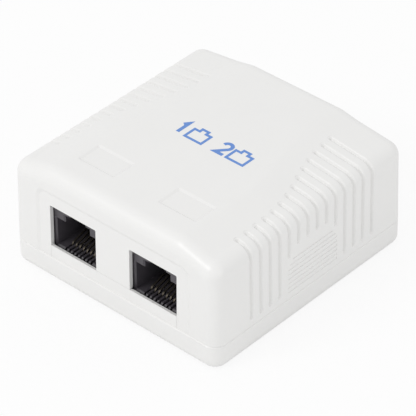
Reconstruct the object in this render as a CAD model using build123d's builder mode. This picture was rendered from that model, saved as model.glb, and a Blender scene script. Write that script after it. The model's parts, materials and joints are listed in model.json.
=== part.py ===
# Surface mount jack box with two RJ45 sockets: a shallow base that carries a small circuit
# board with the jacks and the wire terminals, and a tall cover that snaps down over them.
# Millimetres. The origin is the centre of the footprint, on the surface the box stands on.
# +Z is up, the sockets face -Y, and +X is to the right when facing the sockets.
from build123d import *
from math import cos, radians, sin, sqrt, tan, tanh
import os

os.makedirs("parts", exist_ok=True)

# Overall box
box_width = 56.0
box_depth = 57.7
box_height = 27.0
base_height = 5.7
wall = 2.0
floor = 2.0
corner_radius = 3.0
inner_radius = 1.0
bottom_radius = 1.8
side_draft = 0.6
front_draft = 1.4
rear_draft = 1.0
front_top_radius = 3.2
rear_top_radius = 3.2

# Shoulders fall away from the raised crown on both sides
shoulder_drop = 2.25
shoulder_slope = 0.12
crown_slope_run = 5.6
crown_slope_swing = 1.2
crown_edge_radius = 5.0
crown_sections = 10

# Grooves over the shoulders and down the sides
groove_count = 14
groove_pitch = 2.82
groove_depth = 0.6
groove_wall_angle = 55.0
groove_bottom_radius = 0.25
groove_rim_radius = 0.4
groove_rim_rise = 0.03
groove_rim_land = 0.02
groove_reach = 8.1
groove_reach_swing = 3.95
groove_sway_y = 4.2
groove_sway_length = 9.8
groove_seam_gap = 1.5
groove_overlap = 0.6

# Parting line between base and cover
seam_chamfer = 0.2
seam_gap = 0.12
skin = 1.0
lip_height = 1.8
lip_headroom = 0.2
lip_end_gap = 0.6

# Socket openings in the front of the cover, in a shallow recessed panel
port_jamb = 0.5
port_sill = 0.3
port_lintel = 0.35
port_land = 0.9
port_radius = 0.3
panel_side = 3.7
panel_head = 3.45
panel_depth = 0.3
panel_flank_angle = 68.0
panel_radius = 2.5
tongue_gap = 0.05
tongue_land = 0.6
tongue_step = 0.9
tongue_jack_gap = 0.2

# Ribbed cable knock-outs in the sides of the cover
knockout_width = 14.9
knockout_seam_gap = 1.4
knockout_shoulder_gap = 8.75
knockout_radius = 3.8
knockout_depth = 0.1
knockout_pitch = 1.1
knockout_gap_width = 0.5
knockout_score = 0.8
knockout_skin = 0.7
knockout_groove_gap = 2.0

# Shallow label fields behind the sockets
label_width = 10.1
label_length = 6.3
label_front_inset = 7.65
label_recess = 0.3
label_flank_angle = 60.0
label_radius = 0.4

# Circuit board
board_thickness = 1.6
board_rise = 0.6
board_side_gap = 0.25
board_front_gap = 0.25
board_rear_margin = 2.6
board_radius = 1.0

# Jack housing and its plug cavity
jack_setback = 1.7
jack_width = 15.4
jack_length = 15.5
jack_height = 12.6
jack_spacing = 6.5
jack_gap = 0.35
jack_headroom = 1.0
cavity_width = 11.7
cavity_floor = 2.0
cavity_height = 6.7
cavity_depth = 13.2
cavity_chamfer = 0.3
latch_width = 6.8
latch_height = 1.6
catch_width = 4.4
catch_height = 1.3
peg_radius = 1.55
peg_spacing = 11.4
peg_setback = 8.0
peg_tip = 0.4
peg_gap = 0.1

# Spring contacts of a jack
contact_count = 8
contact_pitch = 1.016
contact_width = 0.36
contact_thickness = 0.32
contact_setback = 2.0
contact_bend = 0.8
contact_rise = 2.3
contact_slope = 0.32
contact_end_gap = 1.25
contact_tail = 0.8
contact_hole_radius = 0.36
contact_slot_gap = 0.09
contact_slot_margin = 1.0

# Comb that guides the free ends of the contacts
comb_length = 3.2
comb_cover = 0.85
comb_shelf_gap = 0.4
comb_back = 0.8
comb_gap = 0.1

# Wire terminals
idc_width = 15.4
idc_depth = 6.4
idc_height = 9.9
idc_slots = 4
idc_pitch = 3.6
idc_slot_width = 1.0
idc_slot_depth = 4.2
idc_mouth = 2.2
idc_mouth_depth = 1.2
idc_gap = 5.35
idc_row_pitch = 12.0
clip_width = 2.6
clip_thickness = 0.5
clip_slit = 0.35
clip_slit_depth = 3.6
clip_drop = 1.2
clip_tail_width = 0.7
clip_tail = 0.9
clip_hole_radius = 0.5
clip_gap = 0.08

# Board screws, their bosses, and props under the jacks
screw_side_margin = 2.5
screw_rear_gap = 2.3
screw_radius = 1.05
screw_head_radius = 2.1
screw_head_height = 1.5
screw_length = 4.2
screw_cross_width = 0.6
screw_cross_length = 2.4
screw_cross_depth = 0.8
screw_thread_gap = 0.05
screw_board_gap = 0.3
boss_radius = 2.6
boss_spare_depth = 0.4
prop_radius = 1.6
prop_contact_gap = 0.9

# Snap arms of the base and the ledges they hook under in the cover
arm_end_distance = 11.85
arm_width = 6.0
arm_thickness = 1.2
arm_height = 11.0
arm_nose = 0.9
arm_nose_height = 2.0
arm_gap = 0.15
ledge_depth = 0.6
ledge_height = 2.4
ledge_width = 8.0
ledge_drop = 0.2

# Fixing slots, cable entry and adhesive pads in the floor
slot_spacing = 32.0
slot_length = 8.0
slot_radius = 2.1
slot_rear_inset = 6.85
entry_width = 14.0
entry_length = 6.0
entry_radius = 1.5
pad_width = 40.0
pad_length = 11.0
pad_thickness = 0.8
pad_front_inset = 10.85
pad_spacing = 20.5
pad_gap = 0.2

# Values worked out from the sizes above
half_width = box_width / 2
half_depth = box_depth / 2
shoulder_z = box_height - shoulder_drop
ridge_x = half_width - shoulder_drop / shoulder_slope
board_top = base_height + board_rise
board_bottom = board_top - board_thickness
board_front_y = -half_depth + wall + board_front_gap
jack_front_y = -half_depth + jack_setback
jack_rear_y = jack_front_y + jack_length
jack_top = board_top + jack_height
jack_pitch = jack_width + jack_spacing
jack_xs = (-jack_pitch / 2, jack_pitch / 2)
jack_outer_x = jack_pitch / 2 + jack_width / 2
cavity_bottom_z = board_top + cavity_floor
cavity_top_z = cavity_bottom_z + cavity_height
cavity_rear_y = jack_front_y + cavity_depth
peg_y = jack_front_y + peg_setback
port_width = cavity_width + 2 * port_jamb
port_bottom = cavity_bottom_z + port_sill
port_top = jack_top - port_lintel
port_outer_x = jack_pitch / 2 + port_width / 2
panel_width = 2 * (port_outer_x + panel_side)
panel_top = port_top + panel_head
tongue_width = 2 * (port_outer_x - tongue_gap)
contact_y = jack_front_y + contact_setback
prop_y = contact_y + prop_contact_gap + prop_radius
contact_slot = contact_width + 2 * contact_slot_gap
contact_slot_length = contact_setback + contact_slot_margin
contact_run = cavity_depth - contact_setback - comb_back - contact_end_gap
contact_corner_z = board_top + contact_rise
contact_end_z = contact_corner_z + contact_slope * contact_run
comb_front_y = cavity_rear_y - comb_length
comb_top = contact_end_z + contact_thickness / 2 + comb_cover
comb_entry_z = contact_corner_z + contact_slope * (comb_front_y - contact_y)
comb_shelf_z = comb_entry_z - contact_thickness / 2 - comb_shelf_gap
idc_front_y = jack_rear_y + idc_gap + idc_depth / 2
idc_rear_y = idc_front_y + idc_row_pitch
ledge_x = half_width - wall - ledge_depth
arm_y = half_depth - arm_end_distance
arm_tip_x = ledge_x - arm_gap
arm_outer_x = arm_tip_x - arm_nose
arm_inner_x = arm_outer_x - arm_thickness
arm_top = floor + arm_height
ledge_top = arm_top - arm_nose_height - ledge_drop
board_width = 2 * (arm_inner_x - board_side_gap)
screw_x = board_width / 2 - screw_side_margin
screw_front_y = jack_rear_y + idc_gap / 2
screw_rear_y = idc_rear_y + idc_depth / 2 + screw_rear_gap
board_length = screw_rear_y + board_rear_margin - board_front_y
knockout_bottom = base_height + knockout_seam_gap
knockout_top = shoulder_z - knockout_shoulder_gap
knockout_gaps = int((knockout_top - knockout_bottom) / knockout_pitch)
pad_front_y = -half_depth + pad_front_inset
pad_rear_y = pad_front_y + pad_spacing
groove_slope = radians(groove_wall_angle)
groove_apex = groove_depth + groove_bottom_radius * (1 / cos(groove_slope) - 1)
groove_half_width = (groove_apex + groove_rim_rise) / tan(groove_slope)
screw_spots = [(sx, sy) for sx in (-screw_x, screw_x) for sy in (screw_front_y, screw_rear_y)]
contact_offsets = [(k - (contact_count - 1) / 2) * contact_pitch for k in range(contact_count)]
clip_offsets = [(k - (idc_slots - 1) / 2) * idc_pitch for k in range(idc_slots)]


def roof_z(x):
    """Height of the shoulder plane at the distance x from the middle."""
    return shoulder_z + shoulder_slope * (half_width - x)


def groove_end_x(y):
    """Inner end of a groove: further in at the rear of the cover than at its front."""
    sway = tanh((groove_sway_y - y) / groove_sway_length)
    return half_width - groove_reach + groove_reach_swing * sway


def crown_foot_x(y):
    """Foot of the slope between crown and shoulder: the grooves just run into it."""
    return groove_end_x(y) + groove_overlap


def crown_edge_x(y):
    """Top of the slope between crown and shoulder."""
    sway = tanh((groove_sway_y - y) / groove_sway_length)
    return crown_foot_x(y) - crown_slope_run - crown_slope_swing * sway


def side_lean(z):
    """How far the drafted side leans in at the height z."""
    return tan(radians(side_draft)) * (z - base_height)


def body_section(inset):
    """Corner points of the cover's section across its width, moved in by inset."""
    edge_z = shoulder_z - inset
    edge_x = half_width - inset - side_lean(edge_z)
    return [
        (-half_width + inset, base_height),
        (half_width - inset, base_height),
        (edge_x, edge_z),
        (ridge_x, box_height - inset),
        (-ridge_x, box_height - inset),
        (-edge_x, edge_z),
    ]


def body_profile(inset):
    """Corner points of the cover's section along its depth, moved in by inset."""
    rise = box_height - base_height
    front_lean = tan(radians(front_draft)) * rise
    rear_lean = tan(radians(rear_draft)) * rise
    return [
        (-half_depth + inset, base_height),
        (half_depth - inset, base_height),
        (half_depth - inset - rear_lean, box_height),
        (-half_depth + inset + front_lean, box_height),
    ]


def is_crosswise(edge):
    """True for an edge that runs across the width of the box."""
    return abs((edge % 0.5).X) > 0.9


def front_plane(inset):
    """The drafted front face moved in by inset, with its own origin on the parting line."""
    lean = radians(front_draft)
    face = Plane(origin=(0, -half_depth, base_height), x_dir=(1, 0, 0), z_dir=(0, -cos(lean), sin(lean)))
    return face.offset(-inset)


def side_plane(side, inset):
    """The drafted face on one side (-1 left, 1 right) moved in by inset."""
    lean = radians(side_draft)
    face = Plane(
        origin=(side * half_width, 0, base_height),
        x_dir=(0, side, 0),
        z_dir=(side * cos(lean), 0, sin(lean)),
    )
    return face.offset(-inset)


def knockout_outline_z(y):
    """Height of the knock-out's outline above the point y of its width."""
    past_corner = max(0.0, abs(y) - (knockout_width / 2 - knockout_radius))
    return knockout_top - knockout_radius + sqrt(knockout_radius**2 - past_corner**2)


def groove_bottom_z(y):
    """Lower end of a groove: over a knock-out it stops short of the outline."""
    if abs(y) < knockout_width / 2:
        return knockout_outline_z(y) + knockout_groove_gap
    return base_height + groove_seam_gap


# Raised crown: a flat top whose sides slope down onto the shoulders
crown_step = box_depth / (crown_sections - 1)
with BuildPart() as crown:
    for k in range(crown_sections):
        station = -half_depth + k * crown_step
        edge_x = crown_edge_x(station)
        foot_x = crown_foot_x(station)
        low_x = edge_x + shoulder_drop * (foot_x - edge_x) / (box_height - roof_z(foot_x))
        with BuildSketch(Plane.XZ.offset(-station)):
            Polygon(
                (-edge_x, box_height),
                (edge_x, box_height),
                (low_x, shoulder_z),
                (-low_x, shoulder_z),
                align=None,
            )
    loft()
    crown_top = crown.faces().sort_by(Axis.Z)[-1]
    fillet(crown_top.edges().filter_by(lambda e: abs((e % 0.5).Y) > 0.9), crown_edge_radius)
    with BuildSketch(Plane.YZ):
        with BuildLine():
            Polyline(body_profile(0), close=True)
        make_face()
    extrude(amount=half_width - wall, both=True, mode=Mode.INTERSECT)

# Space inside the cover
with BuildPart() as hollow:
    with BuildSketch(Plane.XZ.offset(half_depth)):
        with BuildLine():
            Polyline(body_section(wall), close=True)
        make_face()
    extrude(amount=-box_depth)
    with BuildSketch(Plane.YZ):
        with BuildLine():
            Polyline(body_profile(wall), close=True)
        make_face()
    extrude(amount=half_width, both=True, mode=Mode.INTERSECT)
    hollow_rear = hollow.edges().filter_by(
        lambda e: is_crosswise(e) and e.center().Y > 0 and e.center().Z > shoulder_z - wall - 1
    )
    fillet(hollow_rear, rear_top_radius - wall)
    hollow_front = hollow.edges().filter_by(
        lambda e: is_crosswise(e) and e.center().Y < 0 and e.center().Z > shoulder_z - wall - 1
    )
    fillet(hollow_front, front_top_radius - wall)
    hollow_sides = hollow.faces().filter_by(lambda f: abs(f.normal_at().X) > 0.95)
    fillet(hollow_sides.edges().filter_by(lambda e: e.center().Z > base_height + 0.5), inner_radius)

# Section of a groove's cutter: a V with a round bottom and rounded rims
with BuildSketch() as groove_section:
    edge = groove_half_width + groove_rim_radius * tan(groove_slope / 2) + groove_rim_land
    top = groove_rim_rise + groove_depth
    with BuildLine():
        FilletPolyline(
            (-edge, groove_rim_rise),
            (-groove_half_width, groove_rim_rise),
            (0, -groove_apex),
            (groove_half_width, groove_rim_rise),
            (edge, groove_rim_rise),
            radius=[groove_rim_radius, groove_bottom_radius, groove_rim_radius],
        )
        Polyline((edge, groove_rim_rise), (edge, top), (-edge, top), (-edge, groove_rim_rise))
    make_face()
with BuildSketch() as groove_half:
    add(groove_section.sketch)
    split(bisect_by=Plane.YZ)

# Cutters for the grooves: each follows the surface over the shoulder, with round ends
with BuildPart() as grooves:
    for k in range(groove_count):
        groove_y = (k - (groove_count - 1) / 2) * groove_pitch
        inner_x = groove_end_x(groove_y) + groove_half_width
        corner_x = half_width - side_lean(shoulder_z)
        low_z = groove_bottom_z(groove_y) + groove_half_width
        with BuildLine(Plane.XZ.offset(-groove_y)) as groove_path:
            FilletPolyline(
                (inner_x, roof_z(inner_x)),
                (corner_x, shoulder_z),
                (half_width - side_lean(low_z), low_z),
                radius=corner_radius,
            )
        groove_wire = groove_path.wires()[0]
        with BuildSketch(Plane(origin=groove_wire @ 0, x_dir=(0, 1, 0), z_dir=groove_wire % 0)):
            add(groove_section.sketch)
        sweep(path=groove_wire)
        for end, outward in ((0, 1), (1, -1)):
            end_plane = Plane(origin=groove_wire @ end, x_dir=(0, 1, 0), z_dir=groove_wire % end)
            with BuildSketch(end_plane):
                add(groove_half.sketch)
            revolve(axis=Axis(groove_wire @ end, end_plane.y_dir * outward), revolution_arc=180)
    mirror(about=Plane.YZ)

# Cover
with BuildPart() as cover:
    with BuildSketch(Plane.XZ.offset(half_depth)):
        with BuildLine():
            Polyline(body_section(0), close=True)
        make_face()
    extrude(amount=-box_depth)
    with BuildSketch(Plane.YZ):
        with BuildLine():
            Polyline(body_profile(0), close=True)
        make_face()
    extrude(amount=half_width, both=True, mode=Mode.INTERSECT)
    add(crown.part)
    rear_edges = cover.edges().filter_by(
        lambda e: is_crosswise(e) and e.center().Y > half_depth - 1 and e.center().Z > shoulder_z - 1
    )
    fillet(rear_edges, rear_top_radius)
    front_edges = cover.edges().filter_by(
        lambda e: is_crosswise(e) and e.center().Y < -half_depth + 1 and e.center().Z > shoulder_z - 1
    )
    fillet(front_edges, front_top_radius)
    side_faces = cover.faces().filter_by(lambda f: abs(f.normal_at().X) > 0.95)
    fillet(side_faces.edges().filter_by(lambda e: e.center().Z > base_height + 0.5), corner_radius)
    chamfer(cover.faces().sort_by(Axis.Z)[0].edges(), seam_chamfer)
    add(hollow.part, mode=Mode.SUBTRACT)
    # Rebate that fits over the lip of the base
    with BuildSketch(Plane.XY.offset(base_height)):
        RectangleRounded(box_width - 2 * skin, box_depth - 2 * skin, corner_radius - skin)
    extrude(amount=lip_height + lip_headroom, mode=Mode.SUBTRACT)
    # Recessed panel around the sockets
    panel_rise = panel_top - base_height
    with BuildSketch(front_plane(0)) as panel:
        with Locations((0, panel_rise / 2 - 0.5)):
            Rectangle(panel_width, panel_rise + 1)
        fillet(panel.vertices().group_by(Axis.Y)[-1], panel_radius)
    extrude(amount=-panel_depth, taper=panel_flank_angle, mode=Mode.SUBTRACT)
    # Pocket behind the panel that leaves a thin land around each opening
    with BuildSketch(front_plane(panel_depth + port_land)):
        for jack_x in jack_xs:
            relief_height = jack_top + jack_headroom - base_height
            with Locations((jack_x, relief_height / 2)):
                Rectangle(jack_width + 2 * jack_gap, relief_height)
    extrude(amount=-(wall + front_top_radius), mode=Mode.SUBTRACT)
    # Socket openings, and the notch below them for the tongue of the base
    with BuildSketch(front_plane(0)) as ports:
        for jack_x in jack_xs:
            port_rise = port_top - base_height
            with Locations((jack_x, port_rise / 2)):
                Rectangle(port_width, port_rise)
        fillet(ports.vertices().group_by(Axis.Y)[-1], port_radius)
        notch_rise = port_bottom + tongue_gap - base_height
        with Locations((0, notch_rise / 2)):
            Rectangle(2 * port_outer_x, notch_rise)
    extrude(amount=-2 * wall, mode=Mode.SUBTRACT)
    # Knock-outs: shallow gaps between ribs outside and a score line inside
    for side in (-1, 1):
        knockout_z = (knockout_top + knockout_bottom) / 2 - base_height
        with BuildSketch(side_plane(side, 0), mode=Mode.PRIVATE) as field:
            with Locations((0, knockout_z)):
                Rectangle(knockout_width, knockout_top - knockout_bottom)
            fillet(field.vertices().group_by(Axis.Y)[-1], knockout_radius)
        with BuildSketch(side_plane(side, 0)):
            for k in range(knockout_gaps):
                gap_z = knockout_bottom - base_height + (k + 0.5) * knockout_pitch
                with Locations((0, gap_z)):
                    Rectangle(knockout_width, knockout_gap_width)
            add(field.sketch_local, mode=Mode.INTERSECT)
        extrude(amount=-knockout_depth, mode=Mode.SUBTRACT)
        with BuildSketch(side_plane(side, knockout_depth + knockout_skin)):
            add(field.sketch_local)
            offset(amount=-knockout_score, mode=Mode.SUBTRACT)
        extrude(amount=-wall, mode=Mode.SUBTRACT)
    # Grooves and label fields
    add(grooves.part, mode=Mode.SUBTRACT)
    label_y = -half_depth + label_front_inset + label_length / 2
    with BuildSketch(Plane.XY.offset(box_height)):
        for jack_x in jack_xs:
            with Locations((jack_x, label_y)):
                RectangleRounded(label_width, label_length, label_radius)
    extrude(amount=-label_recess, taper=label_flank_angle, mode=Mode.SUBTRACT)
    # Ledges for the snap arms
    for side in (-1, 1):
        for y in (-arm_y, arm_y):
            with BuildSketch(Plane.XZ.offset(-y)):
                with BuildLine():
                    Polyline(
                        (side * (half_width - wall / 2), ledge_top),
                        (side * ledge_x, ledge_top),
                        (side * ledge_x, ledge_top - ledge_height / 2),
                        (side * (half_width - wall), ledge_top - ledge_height),
                        (side * (half_width - wall / 2), ledge_top - ledge_height),
                        close=True,
                    )
                make_face()
            extrude(amount=ledge_width / 2, both=True)

# Base
with BuildPart() as base:
    with BuildSketch():
        RectangleRounded(box_width, box_depth, corner_radius)
    extrude(amount=base_height)
    fillet(base.faces().sort_by(Axis.Z)[0].edges(), bottom_radius)
    chamfer(base.faces().sort_by(Axis.Z)[-1].edges(), seam_chamfer)
    with BuildSketch(Plane.XY.offset(base_height)):
        lip_inset = skin + seam_gap
        RectangleRounded(box_width - 2 * lip_inset, box_depth - 2 * lip_inset, corner_radius - lip_inset)
        with Locations((0, -half_depth)):
            Rectangle(2 * (jack_outer_x + jack_gap + lip_end_gap), 4 * wall, mode=Mode.SUBTRACT)
    extrude(amount=lip_height)
    # Tongue that closes the sockets' openings from below
    with BuildSketch(front_plane(panel_depth)):
        with Locations((0, (port_bottom - base_height - 1) / 2)):
            Rectangle(tongue_width, port_bottom - base_height + 1)
    extrude(amount=-tongue_land)
    step_inset = panel_depth + tongue_land / 2
    with BuildSketch(Plane.XZ.offset(half_depth - step_inset)):
        with Locations((0, base_height + (tongue_step - 1) / 2)):
            Rectangle(tongue_width, tongue_step + 1)
    extrude(amount=-(jack_setback - tongue_jack_gap - step_inset))
    with BuildSketch(Plane.XY.offset(floor)):
        RectangleRounded(box_width - 2 * wall, box_depth - 2 * wall, inner_radius)
    extrude(amount=box_height, mode=Mode.SUBTRACT)
    # Bosses and props for the board
    with BuildSketch(Plane.XY.offset(floor)):
        with Locations(*screw_spots):
            Circle(boss_radius)
        with Locations(*[(jack_x, prop_y) for jack_x in jack_xs]):
            Circle(prop_radius)
    extrude(amount=board_bottom - floor)
    with BuildSketch(Plane.XY.offset(board_bottom)):
        with Locations(*screw_spots):
            Circle(screw_radius + screw_thread_gap)
    extrude(amount=-(screw_length - board_thickness + boss_spare_depth), mode=Mode.SUBTRACT)
    # Snap arms
    for side in (-1, 1):
        for y in (-arm_y, arm_y):
            with BuildSketch(Plane.XZ.offset(-y)):
                with BuildLine():
                    Polyline(
                        (side * arm_inner_x, floor),
                        (side * arm_outer_x, floor),
                        (side * arm_outer_x, arm_top - arm_nose_height),
                        (side * arm_tip_x, arm_top - arm_nose_height),
                        (side * arm_tip_x, arm_top - arm_nose_height / 2),
                        (side * arm_outer_x, arm_top),
                        (side * arm_inner_x, arm_top),
                        close=True,
                    )
                make_face()
            extrude(amount=arm_width / 2, both=True)
    # Fixing slots, cable entry and the pockets for the adhesive pads
    with BuildSketch():
        with GridLocations(slot_spacing, 0, 2, 1):
            with Locations((0, half_depth - slot_rear_inset)):
                SlotOverall(slot_length, 2 * slot_radius)
        with Locations((0, half_depth - slot_rear_inset)):
            RectangleRounded(entry_width, entry_length, entry_radius)
    extrude(amount=floor, mode=Mode.SUBTRACT)
    with BuildSketch():
        with Locations((0, pad_front_y), (0, pad_rear_y)):
            Rectangle(pad_width + 2 * pad_gap, pad_length + 2 * pad_gap)
    extrude(amount=pad_thickness, mode=Mode.SUBTRACT)

# Circuit board
with BuildPart() as circuit_board:
    with BuildSketch(Plane.XY.offset(board_bottom)):
        with Locations((0, board_front_y + board_length / 2)):
            RectangleRounded(board_width, board_length, board_radius)
        with Locations(*screw_spots):
            Circle(screw_radius + screw_board_gap, mode=Mode.SUBTRACT)
        for jack_x in jack_xs:
            with Locations((jack_x - peg_spacing / 2, peg_y), (jack_x + peg_spacing / 2, peg_y)):
                Circle(peg_radius + peg_gap, mode=Mode.SUBTRACT)
            with Locations(*[(jack_x + dx, contact_y) for dx in contact_offsets]):
                Circle(contact_hole_radius, mode=Mode.SUBTRACT)
            with Locations(*[(jack_x + dx, y) for dx in clip_offsets for y in (idc_front_y, idc_rear_y)]):
                Circle(clip_hole_radius, mode=Mode.SUBTRACT)
    extrude(amount=board_thickness)


def build_jack_housing(jack_x):
    """Black plastic body of one jack, with the cavity that takes the plug."""
    with BuildPart() as housing:
        with BuildSketch(Plane.XZ.offset(-jack_front_y)):
            with Locations((jack_x, board_top + jack_height / 2)):
                Rectangle(jack_width, jack_height)
        extrude(amount=-jack_length)
        with BuildSketch(Plane.XZ.offset(-jack_front_y)):
            with Locations((jack_x, cavity_bottom_z + cavity_height / 2)):
                Rectangle(cavity_width, cavity_height)
            with Locations((jack_x, cavity_top_z + latch_height / 2)):
                Rectangle(latch_width, latch_height)
            with Locations((jack_x, cavity_top_z + latch_height + catch_height / 2)):
                Rectangle(catch_width, catch_height)
        extrude(amount=-cavity_depth, mode=Mode.SUBTRACT)
        front_face = housing.faces().sort_by(Axis.Y)[0]
        chamfer(front_face.inner_wires()[0].edges(), cavity_chamfer)
        with BuildSketch(Plane.XY.offset(board_top)):
            slot_y = jack_front_y + contact_slot_length / 2
            with Locations(*[(jack_x + dx, slot_y) for dx in contact_offsets]):
                Rectangle(contact_slot, contact_slot_length)
        extrude(amount=cavity_floor + contact_thickness, mode=Mode.SUBTRACT)
        with BuildSketch(Plane.XY.offset(board_top)):
            with Locations((jack_x - peg_spacing / 2, peg_y), (jack_x + peg_spacing / 2, peg_y)):
                Circle(peg_radius)
        extrude(amount=-(board_thickness + peg_tip))
    return housing


def build_contact_comb(jack_x):
    """Comb at the rear of the cavity: one slot for the free end of each contact."""
    with BuildPart() as comb:
        comb_y = cavity_rear_y - comb_length / 2
        with BuildSketch(Plane.XY.offset(cavity_bottom_z)):
            with Locations((jack_x, comb_y)):
                Rectangle(cavity_width - 2 * comb_gap, comb_length)
        extrude(amount=comb_top - cavity_bottom_z)
        slot_y = cavity_rear_y - comb_back - comb_length / 2
        with BuildSketch(Plane.XY.offset(comb_shelf_z)):
            with Locations(*[(jack_x + dx, slot_y) for dx in contact_offsets]):
                Rectangle(contact_slot, comb_length)
        extrude(amount=comb_top, mode=Mode.SUBTRACT)
    return comb


def build_jack_contacts(jack_x):
    """Eight gold spring wires: up through the board, around a bend and back into the comb."""
    with BuildPart() as contacts:
        for dx in contact_offsets:
            with BuildSketch(Plane.YZ.offset(jack_x + dx)):
                with BuildLine():
                    FilletPolyline(
                        (contact_y, board_bottom - contact_tail),
                        (contact_y, contact_corner_z),
                        (contact_y + contact_run, contact_end_z),
                        radius=contact_bend,
                    )
                trace(line_width=contact_thickness)
            extrude(amount=contact_width / 2, both=True)
    return contacts


def build_idc_block(jack_x, y):
    """Terminal block: four slots that take a wire each, with a pocket for its clip."""
    block_top = board_top + idc_height
    with BuildPart() as block:
        with BuildSketch(Plane.XY.offset(board_top)):
            with Locations((jack_x, y)):
                Rectangle(idc_width, idc_depth)
            with Locations(*[(jack_x + dx, y) for dx in clip_offsets]):
                Rectangle(clip_width + 2 * clip_gap, clip_thickness + 2 * clip_gap, mode=Mode.SUBTRACT)
        extrude(amount=idc_height)
        with BuildSketch(Plane.XZ.offset(-y)):
            for dx in clip_offsets:
                slot_x = jack_x + dx
                with BuildLine():
                    Polyline(
                        (slot_x - idc_slot_width / 2, block_top - idc_slot_depth),
                        (slot_x + idc_slot_width / 2, block_top - idc_slot_depth),
                        (slot_x + idc_slot_width / 2, block_top - idc_mouth_depth),
                        (slot_x + idc_mouth / 2, block_top),
                        (slot_x - idc_mouth / 2, block_top),
                        (slot_x - idc_slot_width / 2, block_top - idc_mouth_depth),
                        close=True,
                    )
                make_face()
        extrude(amount=idc_depth, both=True, mode=Mode.SUBTRACT)
    return block


def build_idc_contacts(jack_x, y):
    """Four slit clips that bite through a wire's insulation, with tails into the board."""
    clip_top = board_top + idc_height - clip_drop
    with BuildPart() as clips:
        with BuildSketch(Plane.XZ.offset(-y)):
            with Locations(*[(jack_x + dx, (clip_top + board_top) / 2) for dx in clip_offsets]):
                Rectangle(clip_width, clip_top - board_top)
            with Locations(*[(jack_x + dx, clip_top - clip_slit_depth / 2) for dx in clip_offsets]):
                Rectangle(clip_slit, clip_slit_depth, mode=Mode.SUBTRACT)
            tail_length = board_thickness + clip_tail
            with Locations(*[(jack_x + dx, board_top - tail_length / 2) for dx in clip_offsets]):
                Rectangle(clip_tail_width, tail_length)
        extrude(amount=clip_thickness / 2, both=True)
    return clips


# Screws that hold the board
with BuildPart() as board_screws:
    with BuildSketch(Plane.XY.offset(board_top)):
        with Locations(*screw_spots):
            Circle(screw_head_radius)
    extrude(amount=screw_head_height)
    fillet(board_screws.faces().group_by(Axis.Z)[-1].edges(), screw_head_height / 2)
    with BuildSketch(Plane.XY.offset(board_top + screw_head_height)):
        with Locations(*screw_spots):
            Rectangle(screw_cross_length, screw_cross_width)
            Rectangle(screw_cross_width, screw_cross_length)
    extrude(amount=-screw_cross_depth, mode=Mode.SUBTRACT)
    with BuildSketch(Plane.XY.offset(board_top)):
        with Locations(*screw_spots):
            Circle(screw_radius)
    extrude(amount=-screw_length)


def build_adhesive_pad(y):
    """Flat adhesive pad that fills its pocket in the underside."""
    with BuildPart() as pad:
        with BuildSketch():
            with Locations((0, y)):
                Rectangle(pad_width, pad_length)
        extrude(amount=pad_thickness)
    return pad


pieces = {
    "base": base,
    "cover": cover,
    "circuit_board": circuit_board,
    "board_screws": board_screws,
    "adhesive_pad_front": build_adhesive_pad(pad_front_y),
    "adhesive_pad_rear": build_adhesive_pad(pad_rear_y),
}
for side_name, jack_x in zip(("left", "right"), jack_xs):
    pieces[f"jack_housing_{side_name}"] = build_jack_housing(jack_x)
    pieces[f"contact_comb_{side_name}"] = build_contact_comb(jack_x)
    pieces[f"jack_contacts_{side_name}"] = build_jack_contacts(jack_x)
    for row_name, row_y in (("front", idc_front_y), ("rear", idc_rear_y)):
        pieces[f"idc_block_{row_name}_{side_name}"] = build_idc_block(jack_x, row_y)
        pieces[f"idc_contacts_{row_name}_{side_name}"] = build_idc_contacts(jack_x, row_y)

for name, piece in pieces.items():
    piece.part.label = name
    export_step(piece.part, f"parts/{name}.step")
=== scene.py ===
# Looks of the surface mount jack box: materials, print, solder joints, light and camera.
# Metres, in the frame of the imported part: +Z up, the sockets face -Y.
import json
import math

import bmesh
import bpy
from mathutils import Matrix, Vector


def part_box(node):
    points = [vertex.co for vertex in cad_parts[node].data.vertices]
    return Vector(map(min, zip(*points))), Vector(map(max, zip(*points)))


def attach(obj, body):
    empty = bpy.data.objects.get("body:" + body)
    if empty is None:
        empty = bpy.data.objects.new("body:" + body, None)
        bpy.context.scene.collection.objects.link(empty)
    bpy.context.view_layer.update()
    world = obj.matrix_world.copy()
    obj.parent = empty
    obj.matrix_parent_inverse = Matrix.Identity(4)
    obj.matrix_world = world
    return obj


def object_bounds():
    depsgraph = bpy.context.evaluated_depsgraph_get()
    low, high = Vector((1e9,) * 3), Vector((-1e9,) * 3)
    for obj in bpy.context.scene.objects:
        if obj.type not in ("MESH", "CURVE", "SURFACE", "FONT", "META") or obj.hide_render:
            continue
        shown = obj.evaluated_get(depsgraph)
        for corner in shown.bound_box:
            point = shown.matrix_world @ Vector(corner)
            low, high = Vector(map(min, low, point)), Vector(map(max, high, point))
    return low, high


MM = 0.001

# Plastics: tone, darker shade, least and greatest roughness, size of the surface's grain in mm
WHITE = ((0.845, 0.842, 0.832), (0.825, 0.822, 0.812), (0.29, 0.37), 0.28)
PLASTICS = {
    "cover_plastic": WHITE,
    "base_plastic": WHITE,
    "jack_plastic": ((0.074, 0.067, 0.078), (0.060, 0.055, 0.064), (0.34, 0.46), 0.28),
    "comb_plastic": ((0.058, 0.053, 0.062), (0.048, 0.044, 0.052), (0.36, 0.5), 0.28),
    "idc_plastic": ((0.72, 0.70, 0.63), (0.66, 0.64, 0.57), (0.4, 0.52), 0.2),
}
PLASTIC_IOR = 1.5

# Metals: tone, darker shade, least and greatest roughness
METALS = {
    # The contacts are gold plated, but contact_gold gets a dark grey tone: painted shade for the dim
    # inside of the sockets, where the gold would show only faint glints
    "contact_gold": ((0.115, 0.10, 0.08), (0.09, 0.08, 0.065), (0.42, 0.54)),
    "clip_metal": ((0.72, 0.72, 0.70), (0.62, 0.62, 0.60), (0.26, 0.4)),
    "screw_steel": ((0.60, 0.60, 0.60), (0.50, 0.50, 0.51), (0.28, 0.42)),
}
DRAWING_STRETCH = (1.0, 0.12, 0.12)

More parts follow.
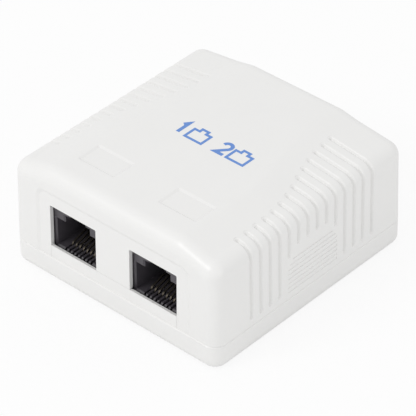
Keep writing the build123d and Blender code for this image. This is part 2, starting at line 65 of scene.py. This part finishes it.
# Solder rings around the eight contact tails of a jack
CONTACT_COUNT = 8
CONTACT_PITCH = 1.016 * MM
TAIL_INSET_X = 0.18 * MM
TAIL_INSET_Y = 0.16 * MM
RING_OUTLINE = ((0.37, 0.002), (0.48, 0.002), (0.47, 0.03), (0.33, 0.05))
RING_SEGMENTS = 20

# Print on the crown: port numbers and outlines of a socket
INK = 0.02 * MM
PRINT_WIDTH = 0.84 * MM
OUTLINE_WIDTH = 0.75 * PRINT_WIDTH
MITRE_LIMIT = 0.3
ARC_STEPS = 12
PRINT_Y = 0.6 * MM
PORT_ONE_X = -4.6 * MM
PORT_TWO_X = 6.6 * MM
DIGIT_SHIFT = -2.6 * MM
OUTLINE_SHIFT = 1.7 * MM
DIGIT_HEIGHT = 3.8 * MM
FLAG_REACH = 0.8 * MM
FLAG_DROP = 1.0 * MM
BOW_RADIUS = 1.05 * MM
FOOT_REACH = 1.15 * MM
SOCKET_WIDTH = 4.4 * MM
SOCKET_HEIGHT = 3.1 * MM
LATCH_WIDTH = 1.7 * MM
LATCH_HEIGHT = 0.9 * MM

# Camera fitted to the photograph, 416 by 416 pixels: degrees, metres, lens in mm
CAMERA_AZIMUTH = 42.841
CAMERA_ELEVATION = 37.107
CAMERA_ROLL = -0.93
CAMERA_DISTANCE = 0.5741
CAMERA_TARGET = (-0.000155, -0.000143, 0.01043)
CAMERA_LENS = 242.8
CAMERA_SENSOR = 36.0
CAMERA_CLIP = (0.01, 20.0)

# Floor, world and lamps: a lamp is its place, its size across and its power
FLOOR_REACH = 3.0
FLOOR_DROP = 0.0002
FLOOR_TONE = 0.9
FLOOR_GLOW_SHARE = 0.86
WORLD_LIGHT = 0.84
LAMP_TARGET = (0, 0, 0.015)
LAMPS = {
    "key": ((-0.215, -0.555, 0.54), 0.26, 1.25),
    "side": ((0.85, -0.10, 0.22), 0.60, 0.48),
}

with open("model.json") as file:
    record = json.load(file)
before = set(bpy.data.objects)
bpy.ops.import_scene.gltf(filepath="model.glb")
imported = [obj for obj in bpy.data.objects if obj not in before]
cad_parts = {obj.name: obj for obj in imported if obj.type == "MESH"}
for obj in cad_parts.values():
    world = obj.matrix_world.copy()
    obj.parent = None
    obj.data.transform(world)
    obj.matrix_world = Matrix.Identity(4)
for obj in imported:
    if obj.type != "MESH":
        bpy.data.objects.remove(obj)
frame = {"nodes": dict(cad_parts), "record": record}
cad_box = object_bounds()
nodes = frame["nodes"]
PRINT_TOP = cad_box[1][2] + INK


# Materials

def new_material(name):
    """An empty node material with its shader and object coordinates."""
    material = bpy.data.materials.new(name)
    material.use_nodes = True
    tree = material.node_tree
    shader = tree.nodes["Principled BSDF"]
    coords = tree.nodes.new("ShaderNodeTexCoord")
    return material, tree, shader, coords.outputs["Object"]


def noise(tree, vector, size_mm, detail=2.0, rough=0.5):
    """Noise whose features are about size_mm across."""
    node = tree.nodes.new("ShaderNodeTexNoise")
    node.inputs["Scale"].default_value = 1.0 / (size_mm * MM)
    node.inputs["Detail"].default_value = detail
    node.inputs["Roughness"].default_value = rough
    tree.links.new(vector, node.inputs["Vector"])
    return node.outputs["Fac"]


def span(tree, value, low, high):
    """Maps a 0 to 1 value onto the range low to high."""
    node = tree.nodes.new("ShaderNodeMapRange")
    node.inputs["To Min"].default_value = low
    node.inputs["To Max"].default_value = high
    tree.links.new(value, node.inputs["Value"])
    return node.outputs["Result"]


def mix(tree, fac, a, b):
    """Mixes two colours by fac."""
    node = tree.nodes.new("ShaderNodeMix")
    node.data_type = "RGBA"
    tree.links.new(fac, node.inputs["Factor"])
    for socket, value in ((node.inputs[6], a), (node.inputs[7], b)):
        socket.default_value = (*value, 1.0)
    return node.outputs[2]


def bump(tree, shader, layers):
    """Chains bump maps: layers are (height, strength, distance in mm)."""
    normal = None
    for height, strength, distance in layers:
        node = tree.nodes.new("ShaderNodeBump")
        node.inputs["Strength"].default_value = strength
        node.inputs["Distance"].default_value = distance * MM
        tree.links.new(height, node.inputs["Height"])
        if normal is not None:
            tree.links.new(normal, node.inputs["Normal"])
        normal = node.outputs["Normal"]
    tree.links.new(normal, shader.inputs["Normal"])


def moulded_plastic(name, tone, shade, roughness, grain_mm):
    """Moulded plastic: fine spark texture, faint sink marks and a slightly uneven tone."""
    material, tree, shader, at = new_material(name)
    tree.links.new(mix(tree, noise(tree, at, 9.0, 3.0), tone, shade), shader.inputs["Base Color"])
    tree.links.new(span(tree, noise(tree, at, 2.5, 4.0), *roughness), shader.inputs["Roughness"])
    shader.inputs["IOR"].default_value = PLASTIC_IOR
    bump(tree, shader, [
        (noise(tree, at, 14.0, 1.0), 0.25, 0.05),
        (noise(tree, at, grain_mm, 3.0, 0.6), 0.12, 0.012),
    ])
    return material


def plated_metal(name, tone, shade, roughness):
    """Plated or drawn metal: fine drawing marks along one way and a blotchy tone."""
    material, tree, shader, at = new_material(name)
    shader.inputs["Metallic"].default_value = 1.0
    tree.links.new(mix(tree, noise(tree, at, 1.2, 3.0), tone, shade), shader.inputs["Base Color"])
    tree.links.new(span(tree, noise(tree, at, 0.6, 4.0), *roughness), shader.inputs["Roughness"])
    stretch = tree.nodes.new("ShaderNodeMapping")
    stretch.inputs["Scale"].default_value = DRAWING_STRETCH
    tree.links.new(at, stretch.inputs["Vector"])
    bump(tree, shader, [(noise(tree, stretch.outputs["Vector"], 0.35, 4.0), 0.15, 0.01)])
    return material


def board_laminate():
    """Green solder mask with the faint weave of the glass cloth and copper under it."""
    material, tree, shader, at = new_material("board_laminate")
    weave = tree.nodes.new("ShaderNodeTexWave")
    weave.wave_type = "BANDS"
    weave.bands_direction = "X"
    weave.inputs["Scale"].default_value = 160.0
    weave.inputs["Distortion"].default_value = 1.0
    tree.links.new(at, weave.inputs["Vector"])
    cloth = mix(tree, weave.outputs["Fac"], (0.012, 0.115, 0.045), (0.018, 0.15, 0.06))
    blotch = mix(tree, noise(tree, at, 5.0, 3.0), (0.010, 0.095, 0.038), (0.022, 0.16, 0.065))
    blend = tree.nodes.new("ShaderNodeMix")
    blend.data_type = "RGBA"
    blend.inputs["Factor"].default_value = 0.5
    tree.links.new(cloth, blend.inputs[6])
    tree.links.new(blotch, blend.inputs[7])
    tree.links.new(blend.outputs[2], shader.inputs["Base Color"])
    tree.links.new(span(tree, noise(tree, at, 1.5, 3.0), 0.22, 0.36), shader.inputs["Roughness"])
    bump(tree, shader, [(weave.outputs["Fac"], 0.2, 0.01), (noise(tree, at, 0.5, 2.0), 0.1, 0.01)])
    return material


def foam():
    """Grey closed-cell foam with visible pores."""
    material, tree, shader, at = new_material("pad_foam")
    cells = tree.nodes.new("ShaderNodeTexVoronoi")
    cells.inputs["Scale"].default_value = 1.0 / (0.45 * MM)
    tree.links.new(at, cells.inputs["Vector"])
    pores = span(tree, cells.outputs["Distance"], 0.0, 1.0)
    grey = mix(tree, pores, (0.075, 0.076, 0.08), (0.03, 0.031, 0.033))
    tree.links.new(grey, shader.inputs["Base Color"])
    tree.links.new(span(tree, noise(tree, at, 1.0, 2.0), 0.8, 0.95), shader.inputs["Roughness"])
    bump(tree, shader, [(pores, 0.6, 0.08)])
    return material


def ink():
    """Blue pad-printed ink, a little thin in places."""
    material, tree, shader, at = new_material("print_ink")
    worn = mix(tree, noise(tree, at, 0.35, 4.0, 0.7), (0.095, 0.225, 0.60), (0.15, 0.30, 0.67))
    tree.links.new(worn, shader.inputs["Base Color"])
    tree.links.new(span(tree, noise(tree, at, 0.6, 3.0), 0.38, 0.55), shader.inputs["Roughness"])
    bump(tree, shader, [(noise(tree, at, 0.3, 3.0), 0.15, 0.008)])
    return material


looks = {}
for name, values in PLASTICS.items():
    looks[name] = moulded_plastic(name, *values)
for name, values in METALS.items():
    looks[name] = plated_metal(name, *values)
looks["board_laminate"] = board_laminate()
looks["pad_foam"] = foam()
for part in frame["record"]["subparts"]:
    node = nodes[part["node"]]
    node.data.materials.clear()
    node.data.materials.append(looks[part["material_slot"]])


# Pieces of the scene's own

def mesh_piece(name, build, material, body):
    """A mesh object made by build(bmesh) that rides on a body."""
    mesh = bpy.data.meshes.new(name)
    bm = bmesh.new()
    build(bm)
    bmesh.ops.recalc_face_normals(bm, faces=bm.faces)
    bm.to_mesh(mesh)
    bm.free()
    mesh.materials.append(material)
    piece = bpy.data.objects.new(name, mesh)
    bpy.context.scene.collection.objects.link(piece)
    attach(piece, body)


def lathe(bm, cx, cy, outline):
    """Adds a closed ring turned about the vertical through cx, cy: outline is (radius, height) pairs."""
    rings = []
    for k in range(RING_SEGMENTS):
        turn = 2 * math.pi * k / RING_SEGMENTS
        rings.append([
            bm.verts.new((cx + r * math.cos(turn), cy + r * math.sin(turn), z)) for r, z in outline
        ])
    for k in range(RING_SEGMENTS):
        here, there = rings[k], rings[(k + 1) % RING_SEGMENTS]
        for i in range(len(outline)):
            j = (i + 1) % len(outline)
            bm.faces.new((here[i], there[i], there[j], here[j]))


board_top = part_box("circuit_board")[1].z
ring_outline = [(radius * MM, board_top + height * MM) for radius, height in RING_OUTLINE]
for side in ("left", "right"):
    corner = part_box(f"jack_contacts_{side}")[0]

    def solder_rings(bm, corner=corner):
        for k in range(CONTACT_COUNT):
            tail_x = corner.x + TAIL_INSET_X + k * CONTACT_PITCH
            lathe(bm, tail_x, corner.y + TAIL_INSET_Y, ring_outline)

    # The solder rings take the same dark grey contact tone, which is painted shade rather than the gold
    # of the plating
    mesh_piece(f"contact_pads_{side}", solder_rings, looks["contact_gold"], "root")


def stroke(bm, points, width, closed=False):
    """Adds a flat ribbon of ink along points, with mitred corners, a little proud of the crown."""
    count = len(points)
    sides = []
    for k, point in enumerate(points):
        before = points[(k - 1) % count] if closed or k > 0 else None
        after = points[(k + 1) % count] if closed or k < count - 1 else None
        ways = []
        if before is not None:
            ways.append((Vector(point) - Vector(before)).normalized())
        if after is not None:
            ways.append((Vector(after) - Vector(point)).normalized())
        mean = sum(ways, Vector((0, 0))).normalized()
        normal = Vector((-mean.y, mean.x))
        reach = width / 2 / max(MITRE_LIMIT, normal.dot(Vector((-ways[0].y, ways[0].x))))
        sides.append([Vector(point) + normal * reach, Vector(point) - normal * reach])
    rows = []
    for left, right in sides:
        corners = (
            (left.x, left.y, PRINT_TOP), (right.x, right.y, PRINT_TOP),
            (right.x, right.y, PRINT_TOP - INK), (left.x, left.y, PRINT_TOP - INK),
        )
        rows.append([bm.verts.new(corner) for corner in corners])
    spans = count if closed else count - 1
    for k in range(spans):
        here, there = rows[k], rows[(k + 1) % count]
        for i in range(4):
            j = (i + 1) % 4
            bm.faces.new((here[i], here[j], there[j], there[i]))
    if not closed:
        bm.faces.new(rows[0])
        bm.faces.new(rows[-1])


def arc(cx, cy, radius, start, end):
    """Points on an arc, angles in degrees."""
    turns = [math.radians(start + (end - start) * k / ARC_STEPS) for k in range(ARC_STEPS + 1)]
    return [(cx + radius * math.cos(t), cy + radius * math.sin(t)) for t in turns]


def digit_one(x, y):
    """Line of a plain 1 whose middle is at x, y."""
    top, bottom = y + DIGIT_HEIGHT / 2, y - DIGIT_HEIGHT / 2
    return [(x - FLAG_REACH, top - FLAG_DROP), (x, top), (x, bottom)]


def digit_two(x, y):
    """Line of a plain 2 whose middle is at x, y."""
    top, bottom = y + DIGIT_HEIGHT / 2, y - DIGIT_HEIGHT / 2
    curve = arc(x, top - BOW_RADIUS, BOW_RADIUS, 170, -40)
    return curve + [(x - BOW_RADIUS, bottom), (x + FOOT_REACH, bottom)]


def socket_outline(x, y):
    """Outline of a modular socket whose middle is at x, y, with its latch notch on top."""
    w, h, n = SOCKET_WIDTH / 2, SOCKET_HEIGHT / 2, LATCH_WIDTH / 2
    low = y - h - LATCH_HEIGHT / 2
    high = low + SOCKET_HEIGHT
    return [
        (x - w, low), (x + w, low), (x + w, high), (x + n, high),
        (x + n, high + LATCH_HEIGHT), (x - n, high + LATCH_HEIGHT), (x - n, high), (x - w, high),
    ]


blue_ink = ink()
for name, x, digit in (("one", PORT_ONE_X, digit_one), ("two", PORT_TWO_X, digit_two)):
    def draw_digit(bm, x=x, digit=digit):
        stroke(bm, digit(x + DIGIT_SHIFT, PRINT_Y), PRINT_WIDTH)

    def draw_socket(bm, x=x):
        stroke(bm, socket_outline(x + OUTLINE_SHIFT, PRINT_Y), OUTLINE_WIDTH, closed=True)

    mesh_piece(f"port_number_{name}", draw_digit, blue_ink, "cover")
    mesh_piece(f"port_symbol_{name}", draw_socket, blue_ink, "cover")


# Camera

def aim_camera():
    """Places the camera on a ball around its target, with the fitted lens and roll."""
    az, el, ro = (math.radians(v) for v in (CAMERA_AZIMUTH, CAMERA_ELEVATION, CAMERA_ROLL))
    back = Vector((math.sin(az) * math.cos(el), -math.cos(az) * math.cos(el), math.sin(el)))
    right = (-back).cross(Vector((0, 0, 1))).normalized()
    up = right.cross(-back)
    x_axis = math.cos(ro) * right + math.sin(ro) * up
    y_axis = -math.sin(ro) * right + math.cos(ro) * up
    data = bpy.data.cameras.new("camera")
    data.sensor_width = CAMERA_SENSOR
    data.lens = CAMERA_LENS
    data.clip_start, data.clip_end = CAMERA_CLIP
    camera = bpy.data.objects.new("camera", data)
    matrix = Matrix((x_axis, y_axis, back)).transposed().to_4x4()
    matrix.translation = Vector(CAMERA_TARGET) + back * CAMERA_DISTANCE
    camera.matrix_world = matrix
    bpy.context.scene.collection.objects.link(camera)
    bpy.context.scene.camera = camera


aim_camera()


# Floor, world and lamps

def floor_material():
    """Pale floor: near white to the camera, and it still takes the object's shadow."""
    material = bpy.data.materials.new("floor")
    material.use_nodes = True
    tree = material.node_tree
    tree.nodes.clear()
    out = tree.nodes.new("ShaderNodeOutputMaterial")
    diffuse = tree.nodes.new("ShaderNodeBsdfDiffuse")
    diffuse.inputs["Color"].default_value = (FLOOR_TONE, FLOOR_TONE, FLOOR_TONE, 1.0)
    glow = tree.nodes.new("ShaderNodeEmission")
    glow.inputs["Color"].default_value = (1.0, 1.0, 1.0, 1.0)
    glow.inputs["Strength"].default_value = 1.0
    path = tree.nodes.new("ShaderNodeLightPath")
    share = tree.nodes.new("ShaderNodeMath")
    share.operation = "MULTIPLY"
    share.inputs[1].default_value = FLOOR_GLOW_SHARE
    tree.links.new(path.outputs["Is Camera Ray"], share.inputs[0])
    blend = tree.nodes.new("ShaderNodeMixShader")
    tree.links.new(share.outputs[0], blend.inputs[0])
    tree.links.new(diffuse.outputs[0], blend.inputs[1])
    tree.links.new(glow.outputs[0], blend.inputs[2])
    tree.links.new(blend.outputs[0], out.inputs["Surface"])
    return material


def add_floor():
    """A wide floor just under the part, which is stage."""
    mesh = bpy.data.meshes.new("floor")
    far = FLOOR_REACH
    mesh.from_pydata([(-far, -far, 0), (far, -far, 0), (far, far, 0), (-far, far, 0)], [], [(0, 1, 2, 3)])
    mesh.materials.append(floor_material())
    floor = bpy.data.objects.new("floor", mesh)
    floor.location.z = -FLOOR_DROP
    bpy.context.scene.collection.objects.link(floor)


def add_world():
    """Even white light, which the camera, mirrors and glass see as plain white."""
    world = bpy.data.worlds.new("world")
    bpy.context.scene.world = world
    world.use_nodes = True
    tree = world.node_tree
    sky = tree.nodes["Background"]
    sky.inputs["Color"].default_value = (1.0, 1.0, 1.0, 1.0)
    path = tree.nodes.new("ShaderNodeLightPath")
    seen = path.outputs["Is Camera Ray"]
    for ray in ("Is Transmission Ray", "Is Glossy Ray"):
        either = tree.nodes.new("ShaderNodeMath")
        either.operation = "MAXIMUM"
        tree.links.new(seen, either.inputs[0])
        tree.links.new(path.outputs[ray], either.inputs[1])
        seen = either.outputs[0]
    tree.links.new(span(tree, seen, WORLD_LIGHT, 1.0), sky.inputs["Strength"])


def add_lamp(name, position, size, power):
    """A round area lamp that faces the part."""
    data = bpy.data.lights.new(name, "AREA")
    data.shape = "DISK"
    data.size = size
    data.energy = power
    lamp = bpy.data.objects.new(name, data)
    lamp.location = position
    way = Vector(LAMP_TARGET) - Vector(position)
    lamp.rotation_euler = way.to_track_quat("-Z", "Y").to_euler()
    bpy.context.scene.collection.objects.link(lamp)


add_floor()
add_world()
for name, values in LAMPS.items():
    add_lamp(name, *values)
bpy.context.scene.view_settings.view_transform = "Standard"
